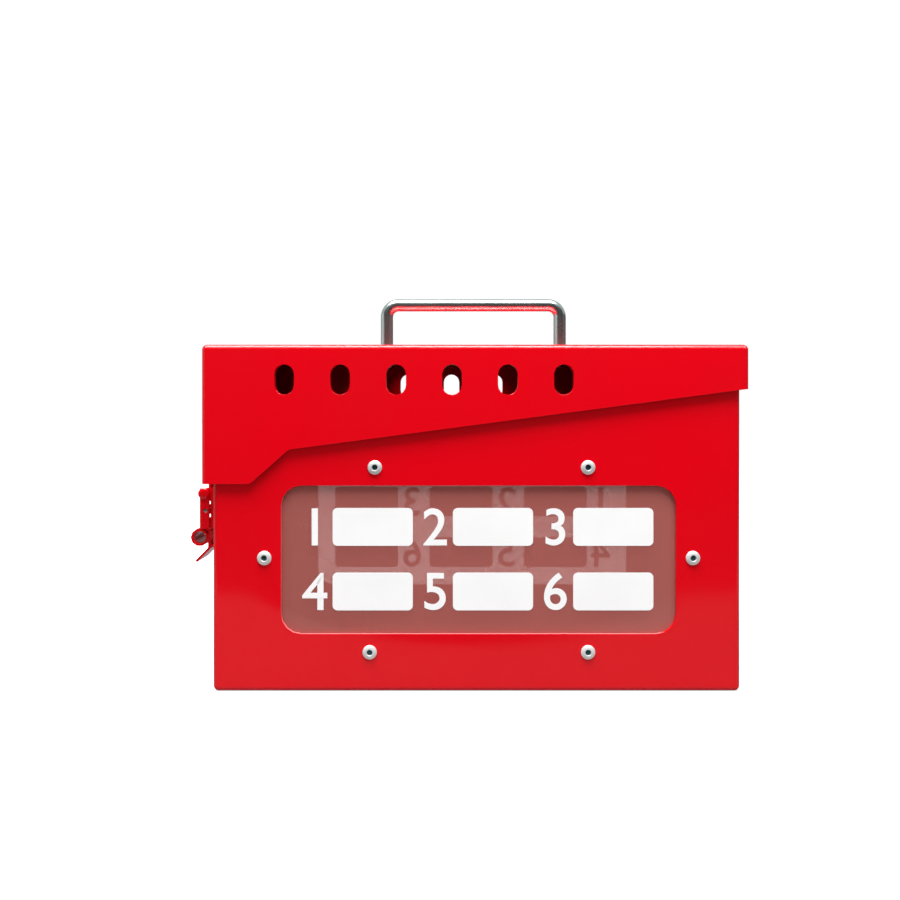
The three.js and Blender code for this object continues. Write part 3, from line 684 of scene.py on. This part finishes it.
for i in range(1, rivetCounts["hingeLeaf"] + 1):
    studRivet(f"hinge_rivet_body_{i}", f"hingeRivetLower{i}", "box", (1, 0, 0))
    studRivet(f"hinge_rivet_lid_{i}", f"hingeRivetUpper{i}", "lid", (1, 0, 0))
for i in range(1, rivetCounts["latchBase"] + 1):
    studRivet(f"latch_base_rivet_{i}", f"latchBaseRivet{i}", "box", (-1, 0, 0))
for i in range(1, rivetCounts["latchCatch"] + 1):
    studRivet(f"latch_catch_rivet_{i}", f"latchCatchRivet{i}", "lid", (-1, 0, 0))
studRivet("lever_pivot_front", "leverPivotFront", "box", (0, -1, 0))
studRivet("lever_pivot_back", "leverPivotBack", "box", (0, 1, 0))
print("rivets made")


# Pins

pinValues = {"sides": 32, "hingeChamfer": 0.3, "clawChamfer": 0.2}


def roundPin(node, name, body, chamfer):
    # a round bar along Y with a small chamfer at both ends
    low, high = (np.array(corner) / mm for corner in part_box(node))
    radius = (high[2] - low[2]) / 2
    length = high[1] - low[1]
    profile = [(0, 0), (radius - chamfer, 0), (radius, chamfer), (radius, length - chamfer),
               (radius - chamfer, length), (0, length)]
    centre = (low + high) / 2
    centre[1] = low[1]
    points, quads = revolved(softened(profile, 1), centre * mm, (0, 1, 0), pinValues["sides"])
    return newPiece(name, points, [quads], body, [brightSteel], [node])


roundPin("hinge_pin", "hingePin", "box", pinValues["hingeChamfer"])
roundPin("latch_claw_pin", "clawPin", "lever", pinValues["clawChamfer"])
print("pins made")


# Print on the windows: six numbered spaces for names

printValues = {
    "columns": (-47.5, 6.5, 60.5),
    "rows": (14.5, -14.5),
    "fieldLength": 36.0,
    "fieldHeight": 17.0,
    "fieldCorner": 2.2,
    "cornerSteps": 8,
    "numeralHeight": 16.2,
    "numeralGrowth": 0.24,
    "sharpestCorner": -0.5,
    "numeralOffset": -26.0,
    "thickness": 0.06,
    "standOff": 0.02,
}


def fieldOutline(values):
    # a rectangle with quarter-round corners, as one loop of points
    halfX = values["fieldLength"] / 2 - values["fieldCorner"]
    halfZ = values["fieldHeight"] / 2 - values["fieldCorner"]
    quarter = np.linspace(0, np.pi / 2, values["cornerSteps"])
    turns = np.concatenate([quarter + k * np.pi / 2 for k in range(4)])
    signs = np.repeat([(1, 1), (-1, 1), (-1, -1), (1, -1)], values["cornerSteps"], axis=0)
    x = signs[:, 0] * halfX + values["fieldCorner"] * np.cos(turns)
    z = signs[:, 1] * halfZ + values["fieldCorner"] * np.sin(turns)
    return np.stack([x, z], axis=1)


def onWindow(flat, depth, facing, values):
    # places on the window's outer face: x and z in mm from its middle, depth outwards
    node = "window_front" if facing < 0 else "window_back"
    low, high = (np.array(corner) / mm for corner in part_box(node))
    middle = (low + high) / 2
    face = low[1] if facing < 0 else high[1]
    points = np.empty((len(flat), 3))
    points[:, 0] = middle[0] - facing * flat[:, 0]
    points[:, 1] = face + facing * depth
    points[:, 2] = middle[2] + flat[:, 1]
    return points * mm


def thickFlat(name, flat, faces, facing, values):
    # the flat shape on the window, which gets its thickness, outwards, from a modifier
    points = onWindow(flat, values["standOff"], facing, values)
    faces = faces if facing < 0 else [f[:, ::-1] for f in faces]
    piece = newPiece(name, points, faces, "box", [whiteInk], smooth=False)
    ink = piece.modifiers.new("inkThickness", "SOLIDIFY")
    ink.thickness = values["thickness"] * mm
    ink.offset = 1.0
    return piece


def boldened(flat, triangles, growth, sharpest):
    # every outline point moved outwards by growth (a + b) / (1 + a.b), where a and b are the normals of its
    # two outline edges and a.b is never taken below that of the sharpest corner
    edges = np.concatenate([triangles[:, (0, 1)], triangles[:, (1, 2)], triangles[:, (2, 0)]])
    count = len(flat)
    outline = edges[~np.isin(edges[:, 0] * count + edges[:, 1], edges[:, 1] * count + edges[:, 0])]
    along = flat[outline[:, 1]] - flat[outline[:, 0]]
    normal = np.stack([along[:, 1], -along[:, 0]], axis=1) / np.linalg.norm(along, axis=1)[:, None]
    leaving, arriving = np.zeros_like(flat), np.zeros_like(flat)
    leaving[outline[:, 0]], arriving[outline[:, 1]] = normal, normal
    agreement = np.maximum((leaving * arriving).sum(axis=1), sharpest)
    return flat + growth * (leaving + arriving) / (1 + agreement)[:, None]


def numeralShape(text, values):
    # the built-in typeface's figure as flat triangles, scaled to the wanted height and made bolder
    curve = bpy.data.curves.new("numeral", "FONT")
    curve.body = text
    holder = bpy.data.objects.new("numeral", curve)
    mesh = bpy.data.meshes.new_from_object(holder)
    places = np.empty(len(mesh.vertices) * 3, np.float32)
    mesh.vertices.foreach_get("co", places)
    mesh.calc_loop_triangles()
    triangles = np.empty(len(mesh.loop_triangles) * 3, np.int32)
    mesh.loop_triangles.foreach_get("vertices", triangles)
    bpy.data.objects.remove(holder)
    bpy.data.curves.remove(curve)
    bpy.data.meshes.remove(mesh)
    flat = places.reshape(-1, 3)[:, :2].astype(float)
    low, high = flat.min(axis=0), flat.max(axis=0)
    flat = (flat - (low + high) / 2) * values["numeralHeight"] / (high[1] - low[1])
    triangles = triangles.reshape(-1, 3)
    return boldened(flat, triangles, values["numeralGrowth"], values["sharpestCorner"]), triangles


def windowPrint(side, facing, values):
    # every field with its numeral beside it, numbered along the rows, in one mesh
    outline = fieldOutline(values)
    ring = np.arange(len(outline))[None, :]
    flats, quads, triangles, start = [], [], [], 0
    for row, z in enumerate(values["rows"]):
        for column, x in enumerate(values["columns"]):
            flats.append(outline + (x, z))
            quads.append(ring + start)
            start += len(outline)
            number = row * len(values["columns"]) + column + 1
            figure, corners = numeralShape(str(number), values)
            flats.append(figure + (x + values["numeralOffset"], z))
            triangles.append(corners + start)
            start += len(figure)
    faces = [np.concatenate(quads), np.concatenate(triangles)]
    return thickFlat(f"windowPrint{side}", np.concatenate(flats), faces, facing, values)


windowPrint("Front", -1, printValues)
windowPrint("Back", 1, printValues)
print("window print made")


# Floor, light and camera

stageValues = {
    "floorHalf": 6.0,
    "floorDrop": 0.0001,
    "floorTone": (0.97, 0.97, 0.97),
    "floorGlow": 0.65,
    "tableDrop": 0.0004,
    "tableTone": (0.22, 0.22, 0.22),
    "tableHalf": 1.6,
    "tableFront": (-0.215, -0.110),
    "tableBow": 0.15,
    "bowPoints": 13,
    "cardTone": (0.02, 0.02, 0.02),
    "cardY": -0.66,
    "cardTop": 1.0,
    "wallHalf": 0.9,
    "wallRear": 1.2,
    "wallTop": 0.42,
    "wallTones": [
        ("Left", (0.50, 0.50, 0.50)),
        ("Rear", (0.16, 0.16, 0.16)),
        ("Right", (0.08, 0.08, 0.08)),
    ],
    "worldTone": (0.98, 0.98, 0.98),
    "worldStrength": 0.46,
    "backdropStrength": 1.03,
}
keyValues = {"place": (-0.05, -0.26, 0.95), "aim": (0.0, -0.14, 0.08), "size": (0.9, 0.34), "power": 23.2}
edgeValues = {"place": (0.0, -0.36, 0.82), "aim": (0.0, -0.05, 0.155), "size": (2.0, 1.03), "power": 48.0}


sheetFinish = {"Roughness": 0.9, "Specular IOR Level": 0.1}


def stageSheet(name, points, faces, tone, glow=0.0):
    mesh = bpy.data.meshes.new(name)
    mesh.from_pydata([tuple(p) for p in points], [], faces)
    sheet = bpy.data.objects.new(name, mesh)
    bpy.context.scene.collection.objects.link(sheet)
    glowing = {"Emission Color": (1, 1, 1, 1), "Emission Strength": glow}
    material = plainMaterial(name, {"Base Color": (*tone, 1), **glowing, **sheetFinish})[0]
    mesh.materials.append(material)
    return sheet


def whiteFloor(values):
    # the paper that the camera sees: it takes shadows, and throws no light back on the box
    half, z = values["floorHalf"], cadBounds[0][2] - values["floorDrop"]
    corners = [(-half, -half, z), (half, -half, z), (half, half, z), (-half, half, z)]
    floor = stageSheet("studioFloor", corners, [(0, 1, 2, 3)], values["floorTone"], values["floorGlow"])
    floor.visible_diffuse = floor.visible_glossy = floor.visible_shadow = False


def tableAndCard(values):
    # what the box itself sees: a grey table with a bowed front edge, y = far - (far - near) (1 - (x/bow)^2)
    # where x is within the bow, and a black card from that edge out and up
    far, near = values["tableFront"]
    bow, half, z = values["tableBow"], values["tableHalf"], cadBounds[0][2] - values["tableDrop"]
    x = np.concatenate([[-half], np.linspace(-bow, bow, values["bowPoints"]), [half]])
    y = far + (near - far) * np.clip(1 - (x / bow) ** 2, 0, 1)
    count = len(x)
    edge = np.stack([x, y, np.full(count, z)], axis=1)
    rear = np.stack([x, np.full(count, half), np.full(count, z)], axis=1)
    strips = [(i, i + 1, i + 1 + count, i + count) for i in range(count - 1)]
    table = stageSheet("greyTable", np.concatenate([edge, rear]), strips, values["tableTone"])
    fold = np.stack([x, np.full(count, values["cardY"]), np.full(count, z)], axis=1)
    top = fold + (0, 0, values["cardTop"])
    rows = [(i + r * count, i + 1 + r * count, i + 1 + (r + 1) * count, i + (r + 1) * count)
            for r in range(2) for i in range(count - 1)]
    card = stageSheet("blackCard", np.concatenate([edge, fold, top]), rows, values["cardTone"])
    for sheet in (table, card):
        sheet.visible_camera = sheet.visible_shadow = False
    card.visible_diffuse = False


def darkWalls(values):
    # low walls past both ends and the rear, seen only in gloss: they keep the bends' edges from glaring
    side, rear, front = values["wallHalf"], values["wallRear"], values["cardY"]
    low, high = cadBounds[0][2] - values["tableDrop"], values["wallTop"]
    path = [(-side, front), (-side, rear), (side, rear), (side, front)]
    for (place, tone), start, end in zip(values["wallTones"], path, path[1:]):
        points = [(*start, low), (*end, low), (*end, high), (*start, high)]
        wall = stageSheet(f"wall{place}", points, [(0, 1, 2, 3)], tone)
        wall.visible_camera = wall.visible_shadow = wall.visible_diffuse = wall.visible_transmission = False


def studioWorld(values):
    # white behind the box, and a softer light from the same white round it
    world = bpy.data.worlds.new("studioWorld")
    world.use_nodes = True
    tree = world.node_tree
    sky = tree.nodes["Background"]
    sky.inputs["Color"].default_value = (*values["worldTone"], 1)
    seen = tree.nodes.new("ShaderNodeLightPath").outputs["Is Camera Ray"]
    strength = mapRange(tree, seen, 0.0, 1.0, values["worldStrength"], values["backdropStrength"])
    tree.links.new(strength, sky.inputs["Strength"])
    bpy.context.scene.world = world


def areaLight(name, values):
    # a rectangle of light, turned so that it shines from its place towards its aim
    light = bpy.data.lights.new(name, "AREA")
    light.shape = "RECTANGLE"
    light.size, light.size_y = values["size"]
    light.energy = values["power"]
    lamp = bpy.data.objects.new(name, light)
    bpy.context.scene.collection.objects.link(lamp)
    lamp.location = values["place"]
    reach = np.array(values["aim"]) - np.array(values["place"])
    turn = math.atan2(reach[1], reach[0]) - math.pi / 2
    lamp.rotation_euler = (math.atan2(math.hypot(reach[0], reach[1]), -reach[2]), 0, turn)
    lamp.visible_camera = False
    return lamp


def edgeLight(values):
    # a long light that only the coat's gloss sees: it draws the light line along every upper edge
    lamp = areaLight("edgeLight", values)
    lamp.visible_diffuse = lamp.visible_transmission = False
    coated = bpy.data.collections.new("glossCoat")
    for piece in bpy.context.scene.objects:
        if piece.type == "MESH" and {redCoat, boxCoat, lidCoat} & set(piece.data.materials):
            coated.objects.link(piece)
    lamp.light_linking.receiver_collection = coated


whiteFloor(stageValues)
tableAndCard(stageValues)
darkWalls(stageValues)
studioWorld(stageValues)
areaLight("keyLight", keyValues)
edgeLight(edgeValues)
bpy.context.scene.view_settings.view_transform = "Standard"

cameraValues = {
    # the place from which the photograph sees the box, and the width of the view at the lid's front
    "place": (-0.0119, -0.3655, 0.1263),
    "frontY": -0.0475,
    "viewWidth": 0.400,
    "shiftY": -0.045,
    "sensor": 36.0,
    "nearest": 0.01,
}
cameraData = bpy.data.cameras.new("camera")
camera = bpy.data.objects.new("camera", cameraData)
bpy.context.scene.collection.objects.link(camera)
camera.location = cameraValues["place"]
camera.rotation_euler = (math.pi / 2, 0, 0)
cameraData.sensor_width = cameraValues["sensor"]
distance = cameraValues["frontY"] - cameraValues["place"][1]
cameraData.lens = cameraData.sensor_width * distance / cameraValues["viewWidth"]
cameraData.shift_y = cameraValues["shiftY"]
cameraData.clip_start = cameraValues["nearest"]
bpy.context.scene.camera = camera
print("stage made")
